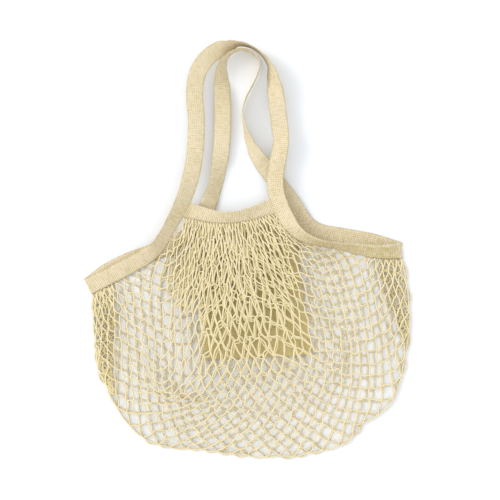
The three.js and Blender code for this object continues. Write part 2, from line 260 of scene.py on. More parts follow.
# %% Mesh helpers
def new_piece(name, points, quads, material, replaces=(), uv=None, triangles=None):
    """A smooth-shaded mesh object from arrays of corners and faces."""
    mesh = bpy.data.meshes.new(name)
    faces = [list(face) for face in quads]
    if triangles is not None:
        faces += np.asarray(triangles, int).tolist()
    mesh.from_pydata(np.asarray(points, float).tolist(), [], faces)
    if uv is not None:
        layer = mesh.uv_layers.new(name="along_and_round")
        corner = np.empty(len(mesh.loops), int)
        mesh.loops.foreach_get("vertex_index", corner)
        layer.data.foreach_set("uv", np.asarray(uv, float)[corner].ravel())
    mesh.shade_smooth()
    mesh.materials.append(material)
    piece = bpy.data.objects.new(name, mesh)
    bpy.context.collection.objects.link(piece)
    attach(piece, "root")
    if replaces:
        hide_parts(*replaces)
    print(name, len(mesh.vertices), "points,", len(mesh.polygons), "faces")
    return piece


def ring_grid(rings, sides, start=0, closed=False):
    """Quads between rings of points that follow one another."""
    count = rings if closed else rings - 1
    ring = np.arange(count)[:, None] * sides
    following = ((np.arange(count) + 1) % rings)[:, None] * sides
    here = np.arange(sides)[None, :]
    beyond = (here + 1) % sides
    quads = np.stack([ring + here, ring + beyond, following + beyond, following + here], -1)
    return start + quads.reshape(-1, 4)


def end_caps(rings, sides):
    """Triangles that close a tube whose two end points follow its rings of points."""
    here = np.arange(sides)
    beyond = (here + 1) % sides
    last = (rings - 1) * sides
    centre = np.full(sides, rings * sides)
    near = np.stack([here, beyond, centre], 1)
    far = np.stack([last + beyond, last + here, centre + 1], 1)
    return np.vstack([near, far])


def rings_about(line, first, second, radii, sides):
    """A ring of points about each point of a line, from one direction round to a second."""
    angle = (np.arange(sides) / sides * 2 * np.pi)[:, None]
    return line[:, None] + (first[:, None] * np.cos(angle) + second[:, None] * np.sin(angle)) * radii


def grid_uv(along, across):
    """UV of a grid of points: each place along with each place across."""
    return np.stack(np.meshgrid(along, across, indexing="ij"), -1).reshape(-1, 2)


# %% [markdown]
# ## Cotton
#
# All parts of the bag are unbleached cotton, a pale straw colour. Where light has passed through a
# few layers it looks olive, and that shade is painted into the colours as a mix towards olive. The
# yarn's own shade drifts slowly, and fine fibres scatter the light, which a little sheen gives. The
# shared effects are kept in node groups, and each material joins them up with its own weave.

# %% Node helpers
CREAM = (0.755, 0.65, 0.475, 1)
STRAW = (0.81, 0.702, 0.455, 1)
PAINTED_SHADE_STRAW = (0.74, 0.638, 0.345, 1)
# The darker tape colour: the tape's tone drifts towards it, and painted shade darkens towards it.
TAPE_SHADE = (0.40, 0.31, 0.05, 1)
CLOTH = (0.68, 0.565, 0.275, 1)
# The darker olive of string and cloth: their tone drifts towards it, and painted shade darkens towards it.
OLIVE_SHADE = (0.36, 0.29, 0.075, 1)


def new_group(name, inputs, outputs):
    """A shader node group of float sockets, its inputs given with their values."""
    group = bpy.data.node_groups.new(name, "ShaderNodeTree")
    for label, value in inputs.items():
        socket = group.interface.new_socket(label, in_out="INPUT", socket_type="NodeSocketFloat")
        socket.default_value = value
    for label in outputs:
        group.interface.new_socket(label, in_out="OUTPUT", socket_type="NodeSocketFloat")
    return group, group.nodes.new("NodeGroupInput"), group.nodes.new("NodeGroupOutput")


def feed(tree, value, socket):
    """Link a socket to another one, or set it to a constant."""
    if isinstance(value, bpy.types.NodeSocket):
        tree.links.new(value, socket)
    else:
        socket.default_value = value


def math_node(tree, operation, *values, clamp=False):
    node = tree.nodes.new("ShaderNodeMath")
    node.operation = operation
    node.use_clamp = clamp
    for index, value in enumerate(values):
        feed(tree, value, node.inputs[index])
    return node.outputs[0]


def plus(tree, first, second, clamp=False):
    return math_node(tree, "ADD", first, second, clamp=clamp)


def minus(tree, first, second, clamp=False):
    return math_node(tree, "SUBTRACT", first, second, clamp=clamp)


def times(tree, first, second, clamp=False):
    return math_node(tree, "MULTIPLY", first, second, clamp=clamp)


def mix_colours(tree, share, first, second):
    node = tree.nodes.new("ShaderNodeMix")
    node.data_type = "RGBA"
    for index, value in ((0, share), (6, first), (7, second)):
        feed(tree, value, node.inputs[index])
    return node.outputs[2]


# %% [markdown]
# Yarn is spun thick and thin, so its shade and its surface vary over a few millimetres and again
# over a few centimetres. One group gives that as a value round zero to whatever asks for it.

# %% Drift of the yarn's shade
drift_group, drift_in, drift_out = new_group(
    "yarn_drift", {"Fine scale": 900.0, "Broad scale": 28.0}, ("Fine", "Broad"),
)
drift_place = drift_group.nodes.new("ShaderNodeTexCoord")
for grain in ("Fine", "Broad"):
    noise = drift_group.nodes.new("ShaderNodeTexNoise")
    noise.inputs["Detail"].default_value = 3
    feed(drift_group, drift_place.outputs["Object"], noise.inputs["Vector"])
    feed(drift_group, drift_in.outputs[f"{grain} scale"], noise.inputs["Scale"])
    feed(drift_group, minus(drift_group, noise.outputs[0], 0.5), drift_out.inputs[grain])

# %% [markdown]
# The next group turns distances along and across a piece of cloth into a plain weave: threads go
# over and under each other in turn, so the height is the product of two waves, and the little gaps
# between the threads come out as a mask that darkens the colour. That darkening is painted shade
# in the gaps.

# %% Weave
weave_group, weave_in, weave_out = new_group(
    "plain_weave",
    {"Along": 0.0, "Across": 0.0, "Threads along": 1000.0, "Threads across": 1000.0},
    ("Height", "Gap"),
)


def thread_wave(place, count):
    turns = times(weave_group, weave_in.outputs[place], weave_in.outputs[count])
    return math_node(weave_group, "SINE", times(weave_group, turns, math.pi))


wave_along = thread_wave("Along", "Threads along")
wave_across = thread_wave("Across", "Threads across")
over_under = times(weave_group, wave_along, wave_across)
round_along = math_node(weave_group, "ABSOLUTE", wave_along)
round_across = math_node(weave_group, "ABSOLUTE", wave_across)
thickest = math_node(weave_group, "MAXIMUM", round_along, round_across)
weave_height = plus(weave_group, times(weave_group, over_under, 0.5), thickest)
feed(weave_group, weave_height, weave_out.inputs["Height"])
# The gap mask paints shade between the threads.
feed(weave_group, minus(weave_group, 1.0, thickest, True), weave_out.inputs["Gap"])

# %% [markdown]
# No two ribs of the tape hold the same amount of yarn. A noise that is drawn out across the tape
# gives each rib a shade of its own along part of its length.

# %% Streaks
streak_group, streak_in, streak_out = new_group(
    "rib_streaks", {"Along": 0.0, "Across": 0.0}, ("Shade",),
)
stretched = streak_group.nodes.new("ShaderNodeCombineXYZ")
for index, (place, scale) in enumerate((("Along", 330.0), ("Across", 120.0))):
    feed(streak_group, times(streak_group, streak_in.outputs[place], scale), stretched.inputs[index])
streak_noise = streak_group.nodes.new("ShaderNodeTexNoise")
streak_noise.inputs["Scale"].default_value = 1.0
streak_noise.inputs["Detail"].default_value = 2
feed(streak_group, stretched.outputs[0], streak_noise.inputs["Vector"])
feed(streak_group, minus(streak_group, streak_noise.outputs[0], 0.5), streak_out.inputs["Shade"])

# %% [markdown]
# Along the right rim the front tape is rolled down towards the goods and lies in its own shade. Only
# its upper edge still catches the light. This group masks such a run of tape below its upper edge,
# and the mask paints that shade into the tape's colour.

# %% A shaded run
FADE_IN, FADE_OUT = 0.05, 0.02
LIT_EDGE, EDGE_FADE = 0.0068, 0.0030

run_group, run_in, run_out = new_group(
    "painted_shade_run", {"Along": 0.0, "Across": 0.0, "Start": 0.0, "End": 1.0}, ("Mask",),
)


def ramp(place, start, width):
    """A value that climbs from 0 to 1 over a width, in metres, beyond a start."""
    return times(run_group, minus(run_group, run_in.outputs[place], start), 1 / width, True)


run_begins = ramp("Along", run_in.outputs["Start"], FADE_IN)
run_goes_on = minus(run_group, 1.0, ramp("Along", run_in.outputs["End"], FADE_OUT))
run_below_edge = minus(run_group, 1.0, ramp("Across", LIT_EDGE, EDGE_FADE))
painted_shade_mask = times(run_group, times(run_group, run_begins, run_goes_on), run_below_edge)
feed(run_group, painted_shade_mask, run_out.inputs["Mask"])

# %% [markdown]
# String is two plies twisted together. Seen along the string the plies make slanting bands, so the
# height is a wave of the place along plus the place round. The grooves between the plies come out
# as a mask that paints shade into them.

# %% Twist
PLIES = 2.0
GROOVE_POWER = 0.6

twist_group, twist_in, twist_out = new_group(
    "twisted_plies", {"Along": 0.0, "Round": 0.0, "Turns": 260.0}, ("Height", "Groove"),
)
twist_turns = times(twist_group, twist_in.outputs["Along"], twist_in.outputs["Turns"])
twist_round = times(twist_group, twist_in.outputs["Round"], PLIES)
twist_place = times(twist_group, plus(twist_group, twist_turns, twist_round), math.pi)
twist_wave = math_node(twist_group, "ABSOLUTE", math_node(twist_group, "SINE", twist_place))
feed(twist_group, twist_wave, twist_out.inputs["Height"])
# The groove mask paints shade between the plies.
twist_groove = minus(twist_group, 1.0, math_node(twist_group, "POWER", twist_wave, GROOVE_POWER), True)
feed(twist_group, twist_groove, twist_out.inputs["Groove"])

# %% [markdown]
# ## The cottons
#
# Tape, string and cloth each have a cotton of their own, and the front tape and the string in the
# gathers have a copy with painted shade. Each starts from a Principled BSDF with a high roughness
# and a little sheen. The base colour is varied by the drift and darkened by painted shade in the
# gaps or grooves, and the same height feeds the bump.

# %% Cotton materials
FINISH = {
    "Roughness": 0.88, "Sheen Weight": 0.18, "Sheen Roughness": 0.6, "Specular IOR Level": 0.25,
}
FINE_SHARE = 0.35
EDGE_SHADE, EDGE_STEEPNESS = 0.45, 1000.0
BUMP = 0.6


def use_group(tree, group, split=None, values=None):
    """A node group in a material, fed with the place along and across where it asks for one."""
    node = tree.nodes.new("ShaderNodeGroup")
    node.node_tree = group
    if split:
        for index in (0, 1):
            feed(tree, split.outputs[index], node.inputs[index])
    for label, value in (values or {}).items():
        feed(tree, value, node.inputs[label])
    return node


def cotton(
    name, colour, shadow, pattern, values, gap_share, depth, drift_share,
    streaks=0.0, edge=None, shaded=None,
):
    """A cotton material whose weave or twist comes from a group fed by the piece's UV."""
    material = bpy.data.materials.new(name)
    material.use_nodes = True
    tree = material.node_tree
    shader = tree.nodes["Principled BSDF"]
    for label, value in FINISH.items():
        shader.inputs[label].default_value = value
    place = tree.nodes.new("ShaderNodeUVMap")
    place.uv_map = "along_and_round"
    split = tree.nodes.new("ShaderNodeSeparateXYZ")
    feed(tree, place.outputs[0], split.inputs[0])
    yarns = use_group(tree, pattern, split, values)
    drift = use_group(tree, drift_group)
    fine = times(tree, drift.outputs["Fine"], FINE_SHARE)
    drifting = plus(tree, drift.outputs["Broad"], fine)
    # The gap or groove mask paints shade into the colour, and the drift varies the yarn's tone.
    shade = plus(tree, times(tree, yarns.outputs[1], gap_share), times(tree, drifting, drift_share))
    if streaks:
        streak = use_group(tree, streak_group, split)
        shade = plus(tree, shade, times(tree, streak.outputs[0], streaks))
    if edge:
        beyond = minus(tree, math_node(tree, "ABSOLUTE", split.outputs[1]), edge)
        shade = plus(tree, shade, times(tree, times(tree, beyond, EDGE_STEEPNESS, True), EDGE_SHADE))
    # A run of tape along which shade is painted into the colour.
    if shaded:
        start, end, share = shaded
        run = use_group(tree, run_group, split, {"Start": start, "End": end})
        shade = plus(tree, shade, times(tree, run.outputs[0], share))
    shade = plus(tree, shade, 0.0, True)
    feed(tree, mix_colours(tree, shade, colour, shadow), shader.inputs["Base Color"])
    bump = tree.nodes.new("ShaderNodeBump")
    bump.inputs["Distance"].default_value = depth
    bump.inputs["Strength"].default_value = BUMP
    feed(tree, plus(tree, yarns.outputs[0], fine), bump.inputs["Height"])
    feed(tree, bump.outputs[0], shader.inputs["Normal"])
    return material


def threads(pitch):
    return {"Threads along": 1 / pitch, "Threads across": 1 / pitch}


RIB_PITCH = 0.0027
CLOTH_PITCH = 0.001
RIGHT_RIM_ROWS = (30.5, 37.6)
RIM_PAINTED_SHADE = 0.30
rim_start, rim_end = np.interp(RIGHT_RIM_ROWS, fine_front, run_lengths(front_tape(fine_front)[0]))
ribbed = (CREAM, TAPE_SHADE, weave_group, threads(RIB_PITCH), 1.15, 0.0004, 0.60, 1.1, 0.0112)
twisted = (OLIVE_SHADE, twist_group, {"Turns": 240.0}, 0.22, 0.0002, 0.30)
tape_cotton = cotton("ribbed_tape", *ribbed)
# The front tape's cotton has painted shade along its right rim.
front_tape_painted_shade_cotton = cotton("ribbed_front_tape_painted_shade", *ribbed, (float(rim_start), float(rim_end), RIM_PAINTED_SHADE))
string_cotton = cotton("twisted_string", STRAW, *twisted)
# The string in the pleats and folds has painted shade: a deeper straw colour.
painted_shade_string_cotton = cotton("painted_shade_string", PAINTED_SHADE_STRAW, *twisted)
panel_cotton = cotton(
    "plain_cloth", CLOTH, OLIVE_SHADE, weave_group, threads(CLOTH_PITCH), 0.34, 0.00012, 0.45,
)

# %% [markdown]
# ## The tapes
#
# The tape is woven with thick weft threads, so it has a rib across it every 2.7 mm, and a tiny
# loop of weft at each edge. Each rib is made as a real swelling, and the edge moves out and in
# with it. The tape's soft cross creases are low waves along it. Where it lies on the surface, its
# underside stays flat on that.

# %% Ribbed tape
RIB_HEIGHT = 0.00014
PICOT = 0.0006
STEPS_PER_RIB = 5
CREASE_SPACING = 0.012
CREASE_HEIGHT = 0.00035
CREASE_REACH = 20
LEAST_HEIGHT = 0.0001
FACE_SHARES = np.array([-1, -0.93, -0.72, -0.36, 0, 0.36, 0.72, 0.93, 1])


def ribbed_strip(name, middle, breadth, normal, half_widths, material, replaces, seed):
    """A ribbed strip of tape about a line of sections, closed at both ends, and its length."""
    rng = np.random.default_rng(seed)
    length = run_lengths(middle)
    total = length[-1]
    count = max(int(total / RIB_PITCH), 3) * STEPS_PER_RIB + 1
    at = np.linspace(0, total, count)
    middle, breadth, normal = (read_at(at, length, values) for values in (middle, breadth, normal))
    breadth, normal = unit(breadth), unit(normal)
    half = np.interp(at, length, half_widths)
    rib = np.cos(2 * np.pi * at / RIB_PITCH)
    waves = rng.normal(0, 1, int(total / CREASE_SPACING) + 4)
    crease = np.interp(at, np.linspace(0, total, len(waves)), waves)
    window = np.hanning(2 * CREASE_REACH + 1)
    crease = np.convolve(np.pad(crease, CREASE_REACH, "edge"), window / window.sum(), "valid")
    rows, uv = [], []
    for face, shares in ((1, FACE_SHARES), (-1, FACE_SHARES[::-1][1:-1])):
        for share in shares:
            thick = FACE * min(1, 1.25 - abs(share) ** 6)
            lift = face * (thick - RIB_HEIGHT + RIB_HEIGHT * rib) + CREASE_HEIGHT * crease * (1 - share**2)
            reach = half * share
            if abs(share) == 1:
                lift = 0 * at
                reach = reach + share * PICOT * rib
            rows.append(middle + breadth * reach[:, None] + normal * lift[:, None])
            uv.append(np.stack([at + RIB_PITCH / 2, half * share], 1))
    points = np.stack(rows, 1)
    points[..., 2] = np.maximum(points[..., 2], LEAST_HEIGHT)
    sides = len(rows)
    piece = new_piece(
        name, np.vstack([points.reshape(-1, 3), points[0].mean(0), points[-1].mean(0)]),
        ring_grid(count, sides)[:, ::-1], material, replaces,
        np.vstack([np.stack(uv, 1).reshape(-1, 2), [0, 0], [total, 0]]), end_caps(count, sides),
    )
    return piece, total


for tape_name, fine, sections, material, node, seed in (
    ("front_tape", fine_front, front_tape, front_tape_painted_shade_cotton, "tape_front", 3),
    ("back_tape", fine_back, back_tape, tape_cotton, "tape_back", 4),
):
    half_widths = np.full(len(fine), TAPE_WIDTH / 2)
    ribbed_strip(tape_name, *sections(fine), half_widths, material, (node,), seed)

# %% [markdown]
# ## The bands
#
# A short length of the same tape joins the two feet of each handle and holds the gathers of the
# net. The front band sags in a shallow smile, and its upper edge is tipped up by the gathers. It is
# cut from 25 mm tape, and a few millimetres of that width are taken up in the seams.


# %% Bands
BACK_SEATS = {"left_low": 7.5, "left_high": 8.5, "right_high": 34.3, "right_low": 35.2}
SEAM_DROP = 2 * CLEARANCE + FACE
BAND_STEPS = 41


def band_sections(sections, seats, tilt):
    """Lower edge, upper edge, normal and outward way of a band between the straps' inner edges."""
    places = [seats[key] for key in ("left_low", "left_high", "right_low", "right_high")]
    middle, breadth, _ = sections(places)
    left_low, left_high, right_low, right_high = middle - breadth * TAPE_WIDTH / 2
    ahead = (right_low - left_low) * IN_PLAN
    rows = []
    for share in np.linspace(0, 1, BAND_STEPS):
        belly = math.sin(math.pi * share)
        inset = np.array([SEAM_DROP * (1 - 2 * share), -BAND_SAG * belly, 0])
        low = left_low * (1 - share) + right_low * share + inset
        high = left_high * (1 - share) + right_high * share + inset
        rise = (high - low) * IN_PLAN
        length = np.linalg.norm(rise)
        outward = rise / length
        outer = low + outward * length * math.cos(tilt * belly)
        outer[2] = high[2] + (low[2] - high[2]) * belly + length * math.sin(tilt * belly)
        rows.append((low, outer, unit(np.cross(ahead, outer - low)), outward))
    return np.array(rows).transpose(1, 0, 2)


front_band = band_sections(front_tape, FRONT_SEATS, BAND_TILT)
back_band = band_sections(back_tape, BACK_SEATS, 0)
for band_name, band, node, seed in (
    ("front_band", front_band, "band_front", 5), ("back_band", back_band, "band_back", 6),
):
    lows, highs, normals, _ = band
    half_widths = np.linalg.norm(highs - lows, axis=1) / 2
    piece, band_length = ribbed_strip(
        band_name, (lows + highs) / 2, unit(highs - lows), normals, half_widths,
        tape_cotton, (node,), seed,
    )
    print(band_name, "shows", round(float(half_widths.mean()) * 2000, 1), "mm of its width")

# %% [markdown]
# At the two corners of the mouth the front tape turns over into the back one. The turn is a short
# piece of the same tape, bent round a tight half circle.


# %% Corner turns
LEAST_TURN = 0.0009
CORNER_INSET = 0.0002


def corner_turn(name, front_row, back_row, side, seed):
    """A half circle of tape from an end of the front tape round to that of the back one."""
    upper, breadth, _ = (value[0] for value in front_tape([front_row]))
    lower = back_tape([back_row])[0][0]
    radius = max((upper[2] - lower[2]) / 2, LEAST_TURN)
    along = unit(np.array([breadth[1], -breadth[0], 0]) * side)
    angle = np.linspace(np.pi / 2, -np.pi / 2, 25)[:, None]
    way = along * np.cos(angle) + UP * np.sin(angle)
    lean = (upper - lower) / 2 * IN_PLAN
    middle = (upper + lower) / 2 + way * radius + lean * np.sin(angle)
    across = np.tile(unit(breadth * IN_PLAN), (len(angle), 1))
    half_widths = np.full(len(angle), TAPE_WIDTH / 2 - CORNER_INSET)
    return ribbed_strip(name, middle, across, way, half_widths, tape_cotton, ("tape_front",), seed)[0]


turns = [
    corner_turn("left_corner", 0, 0, -1, 7), corner_turn("right_corner", FRONT_END, BACK_END, 1, 8),
]

# %% [markdown]
# The net is sewn to the tapes with a running lockstitch a few millimetres from the edge. Each
# stitch is a short length of thread that dips into the tape at both ends.

# %% Stitches
STITCH = 0.0028
STITCH_GAP = 0.0010
THREAD = 0.00028
STITCH_SIDES = 5
STITCH_RINGS = 6
RIM_SEAM = -0.80
SEAM_INSET = 0.1


def stitches(name, line, normal):
    """A row of stitches along a line on the tape's face."""
    length = run_lengths(line)
    rise = np.sin(np.linspace(0, np.pi, STITCH_RINGS))[:, None] ** 0.7
    size = (THREAD * (0.25 + 0.75 * rise))[:, None]
    points, quads, ends = [], [], []
    for start in np.arange(0.001, length[-1] - STITCH, STITCH + STITCH_GAP):
        at = start + STITCH * np.linspace(0, 1, STITCH_RINGS)
        up = unit(read_at(at, length, normal))
        course = read_at(at, length, line) + up * (rise * THREAD * 1.3 - THREAD * 0.9)
        side = unit(np.cross(up, np.gradient(course, axis=0)))
        first = len(points) * STITCH_RINGS * STITCH_SIDES
        last = first + (STITCH_RINGS - 1) * STITCH_SIDES
        points.append(rings_about(course, up, side, size, STITCH_SIDES))
        quads += ring_grid(STITCH_RINGS, STITCH_SIDES, first).tolist()
        ends.append(list(range(first + STITCH_SIDES - 1, first - 1, -1)))
        ends.append(list(range(last, last + STITCH_SIDES)))
    uv = grid_uv(np.zeros(len(points) * STITCH_RINGS), np.arange(STITCH_SIDES) / STITCH_SIDES)
    new_piece(name, np.reshape(points, (-1, 3)), quads + ends, string_cotton, (), uv)


for row_name, first, last in (
    ("left_rim_stitches", SEAM_INSET, FRONT_SEATS["left_high"]),
    ("right_rim_stitches", FRONT_SEATS["right_high"], FRONT_END - SEAM_INSET),
):
    middle, breadth, normal = front_tape(np.linspace(first, last, 300))
    stitches(row_name, middle + breadth * TAPE_WIDTH / 2 * RIM_SEAM + normal * FACE, normal)
lows, highs, normals, _ = front_band
face_side = np.where(normals[:, 2:] < 0, -normals, normals)
for row_name, share in (("band_stitches_low", 0.1), ("band_stitches_high", 0.9)):
    stitches(row_name, lows + (highs - lows) * share + face_side * FACE, face_side)
for end_name, index in (("band_stitches_left", 1), ("band_stitches_right", -2)):
    rise = np.linspace(0.1, 0.9, 12)[:, None]
    line = lows[index] + (highs[index] - lows[index]) * rise + face_side[index] * FACE
    stitches(end_name, line, np.tile(face_side[index], (12, 1)))

# %% [markdown]
# Two seams cross the tapes: one closes the front tape beside the right corner of the mouth, and one
# joins two lengths of the back tape at the foot of its handle.

# %% Cross seams
RIGHT_SEAM_ROW, BACK_SEAM_ROW = 37.25, 33.55
CROSS_REACH = 0.46

for seam_name, sections, row in (
    ("right_cross_seam", front_tape, RIGHT_SEAM_ROW), ("back_cross_seam", back_tape, BACK_SEAM_ROW),
):
    middle, breadth, normal = sections([row])
    reach = np.linspace(-CROSS_REACH, CROSS_REACH, 20)[:, None]
    line = middle + breadth * TAPE_WIDTH * reach + normal * FACE
    stitches(seam_name, line, np.tile(normal, (20, 1)))

# %% [markdown]
# ## Where the net hangs from
#
# The net's upper edge runs along the left rim, under the band and along the right rim. Its lower
# edge is the outline of the lying bag, where the front layer turns over into the back one.

# %% The edges of the net
OUTLINE = [
    (-0.935, -0.406), (-0.935, -0.484), (-0.928, -0.566), (-0.881, -0.693), (-0.757, -0.839),
    (-0.634, -0.922), (-0.402, -0.968), (-0.13, -0.98), (0.146, -1), (0.364, -0.99),
    (0.556, -0.949), (0.691, -0.885), (0.829, -0.812), (0.939, -0.711), (0.966, -0.582),
    (1, -0.455), (0.979, -0.345),
]


def rim_line(sections, first, last):
    middle, breadth, _ = sections(np.linspace(first, last, 120))
    upright = unit(np.gradient(middle[:, :2], axis=0))
    return middle - breadth * TAPE_WIDTH / 2 - turned_left(upright) * SEAM_DROP


def net_edges(sections, seats, band, last_row):
    """The left rim from the band outwards, the band's lower edge, and the right rim."""
    left = rim_line(sections, 0, seats["left_low"])[::-1]
    right = rim_line(sections, seats["right_low"], last_row)
    lows, _, _, outwards = band
    return left, lows - outwards * SEAM_DROP, right


front_edges = net_edges(front_tape, FRONT_SEATS, front_band, FRONT_END)
back_edges = net_edges(back_tape, BACK_SEATS, back_band, BACK_END)


def summed(values):
    """The running sum of evenly spaced values, from 0."""
    return np.concatenate([[0], np.cumsum((values[1:] + values[:-1]) / 2)])


def crowded(steps, table):
    """Shares from 0 to 1 in steps, closer together where the table's density is higher."""
    places, density = np.array(table, float).T
    fine = np.linspace(0, 1, 400)
    total = summed(np.interp(fine, places, density))
    return np.interp(np.linspace(0, 1, steps + 1), total / total[-1], fine)


# %% [markdown]
# ## Letting the net settle
#
# The net is a lattice of knots joined by bars of string, all 17 mm long. A flat drawing of it
# would be too regular, so it is laid as a real net lies. The knots on the edges are fixed. All
# others are pulled wherever a bar is longer than its string, and each string straightens where it
# can. Bars that end up shorter than their string stay slack, and bow.

# %% The lattice
COLUMNS = 60
ROWS = 26
BAR = 0.0172
RIM_CROWD = [(0, 1), (0.74, 1), (0.8, 3.4), (1, 3.4)]
RIGHT_CROWD = [(0, 1.25), (0.3, 1.25), (0.35, 1), (0.74, 1), (0.8, 3.4), (1, 3.4)]
OUTLINE_CROWD = [(0, 0.8), (0.2, 0.85), (0.28, 1.3), (0.66, 1.3), (0.75, 0.85), (1, 0.8)]

half_column, half_row = np.meshgrid(np.arange(COLUMNS + 1), np.arange(ROWS + 1), indexing="ij")
is_knot = (half_column + half_row) % 2 == 0
knot_number = np.full(is_knot.shape, -1)
knot_number[is_knot] = np.arange(is_knot.sum())
knot_column, knot_row = half_column[is_knot], half_row[is_knot]
knot_u, knot_v = knot_column / COLUMNS, knot_row / ROWS
on_edge = (knot_column % COLUMNS == 0) | (knot_row % ROWS == 0)


def lattice_strings(number, lean, fewest):
    """The points along each string of one family: lean 1 goes down to the right, -1 to the left."""
    last_column, last_row = number.shape[0] - 1, number.shape[1] - 1
    side = 0 if lean == 1 else last_column
    starts = [(column, 0) for column in range(0, last_column + 1, 2)]
    starts += [(side, row) for row in range(2, last_row + 1, 2)]
    lines = []
    for column, row in starts:
        room = last_column - column if lean == 1 else column
        steps = np.arange(min(room, last_row - row) + 1)
        lines.append(number[column + lean * steps, row + steps])
    return [line for line in lines if len(line) >= fewest]


falling_right, falling_left = (lattice_strings(knot_number, lean, 2) for lean in (1, -1))
both_families = falling_right + falling_left
bars = np.vstack([np.stack([s[:-1], s[1:]], 1) for s in both_families])
bends = np.vstack([np.stack([s[:-2], s[1:-1], s[2:]], 1) for s in both_families])
print(len(knot_row), "knots and", len(bars), "bars in each layer")


# %% [markdown]
# The start is a smooth blend of the four edges. Then a few thousand light steps move the knots: a
# stretched bar pulls its two knots together, and each knot is drawn towards the middle of its two
# neighbours on each string. A slack bar keeps a little spring, as cotton does. Under the band the
# meshes hang closed, so the first rows fall at nearly a bar's length each and then fan out. A
# little seeded unevenness stands for the way that hands lay it.


# %% Laying a layer
def outline_line(left, right):
    """The outline from the left corner of the mouth round to the right one, in plan."""
    corners = np.array([(side * HALF_BODY, level_at(along)) for side, along in OUTLINE])
    line = np.vstack([left[-1, :2], corners, right[-1, :2]])
    return smooth_line(line, np.linspace(0, len(line) - 1, 600))


SPREAD = 0.12
PULL = 1.6
STRAIGHTEN = 0.12
GRIP = 0.25
ROUNDS = 2500
UNEVENNESS = 0.07
TAUT = 0.97
FAN_ROWS = (0, 4, 8, 11, 15, 26)
FAN_SPACING = (0.0023, 0.0034, 0.0052, 0.0062, 0.0080, 0.0100)
FAN_MIDDLE = 0.46
FAN_HALF = 0.31
FAN_EASE = 0.10
FAN_DRIFT = 0.022
FAN_OPEN_ROW = 13
HUNG_ROWS = 16
LET_GO_ROWS = 4
ROW_RISE = math.tan(math.radians(13))


def hanging_rows(top):
    """Where the rows under the band hang in plan, and how firmly each knot keeps to its place."""
    spacing = np.interp(np.arange(ROWS + 1), FAN_ROWS, FAN_SPACING)
    drop = summed(np.sqrt((TAUT * BAR) ** 2 - spacing**2))
    aside = knot_column - FAN_MIDDLE * COLUMNS
    opened = np.clip(knot_row / FAN_OPEN_ROW, 0, 1)
    middle = top[int(FAN_MIDDLE * COLUMNS)]
    fan = aside * spacing[knot_row]
    x = middle[0] + fan + FAN_DRIFT * opened
    y = middle[1] - drop[knot_row] + fan * ROW_RISE * opened
    start = top[knot_column] - middle - np.stack([aside * spacing[0], 0 * aside], 1)
    place = np.stack([x, y], 1) + start * (1 - opened)[:, None]
    near = np.clip((FAN_HALF - np.abs(knot_u - FAN_MIDDLE)) / FAN_EASE, 0, 1)
    return place, near * np.clip((HUNG_ROWS - knot_row) / LET_GO_ROWS, 0, 1)


def staggered(rng, grip):
    """The gathers are caught at uneven depths, so no two strings have their knots level."""
    depth = rng.normal(0, 0.0042, COLUMNS + 1)
    sway = rng.normal(0, 0.0008, len(knot_row))
    own = rng.normal(0, 0.0016, len(knot_row))
    return np.column_stack([sway, depth[knot_column] + own]) * (grip * (knot_row > 0))[:, None]


def blended(top, low, west, east):
    """A smooth sheet of points between four edges."""
    u = (np.arange(COLUMNS + 1) / COLUMNS)[:, None, None]
    v = (np.arange(ROWS + 1) / ROWS)[None, :, None]
    sheet = (1 - v) * top[:, None] + v * low[:, None] + (1 - u) * west[None] + u * east[None]
    sheet -= (1 - u) * (1 - v) * top[0] + u * (1 - v) * top[-1]
    return sheet - ((1 - u) * v * low[0] + u * v * low[-1])


def lay(edges, seed):
    """Plan places of the knots of one layer, in metres."""
    left, top, right = (edge[:, :2] for edge in edges)
    top = spread(top, np.arange(COLUMNS + 1) / COLUMNS)
    low = spread(outline_line(left, right), crowded(COLUMNS, OUTLINE_CROWD))
    low[2:-2] += np.random.default_rng(9).normal(0, 0.0018, low[2:-2].shape)
    west = spread(left, crowded(ROWS, RIM_CROWD))
    east = spread(right, crowded(ROWS, RIGHT_CROWD))
    place = blended(top, low, west, east)[is_knot]
    rng = np.random.default_rng(seed)
    free = (~on_edge).astype(float)[:, None]
    first, second = bars.T
    before, here, after = bends.T
    length = BAR * rng.normal(1, UNEVENNESS, len(bars))[:, None]
    pulls = np.bincount(bars.ravel(), minlength=len(place))[:, None]
    bending = np.maximum(np.bincount(here, minlength=len(place)), 1)[:, None]
    kick = rng.normal(0, 1, place.shape) * BAR * UNEVENNESS * 0.5
    hanging, hung = hanging_rows(top)
    grip = free * (GRIP * hung)[:, None]
    for _ in range(ROUNDS):
        along = place[second] - place[first]
        now = np.linalg.norm(along, axis=1, keepdims=True)
        strain = now - length
        strain = np.where(strain > 0, strain, SPREAD * strain)
        over = strain / np.maximum(now, 1e-6) * along * 0.5
        move = np.zeros_like(place)
        np.add.at(move, first, over)
        np.add.at(move, second, -over)
        straight = np.zeros_like(place)
        np.add.at(straight, here, (place[before] + place[after]) / 2 - place[here])
        place = place + free * (move / pulls * PULL + straight / bending * STRAIGHTEN)
        place = place + grip * (hanging - place)
    return place + free * kick + staggered(rng, hung)


front_plan = lay(front_edges, 11)
back_plan = lay(back_edges, 12)

# %% [markdown]
# The back layer lies on the surface. The front layer swells over it, and meets it at the outline,
# as the solids do. Here u runs from side to side, and v from the mouth down.


# %% Heights
SWELL_POWER = 0.35
STRING_RADIUS = 0.00103
FRONT_FOOT = NET_THICKNESS * 1.5 + CLEARANCE


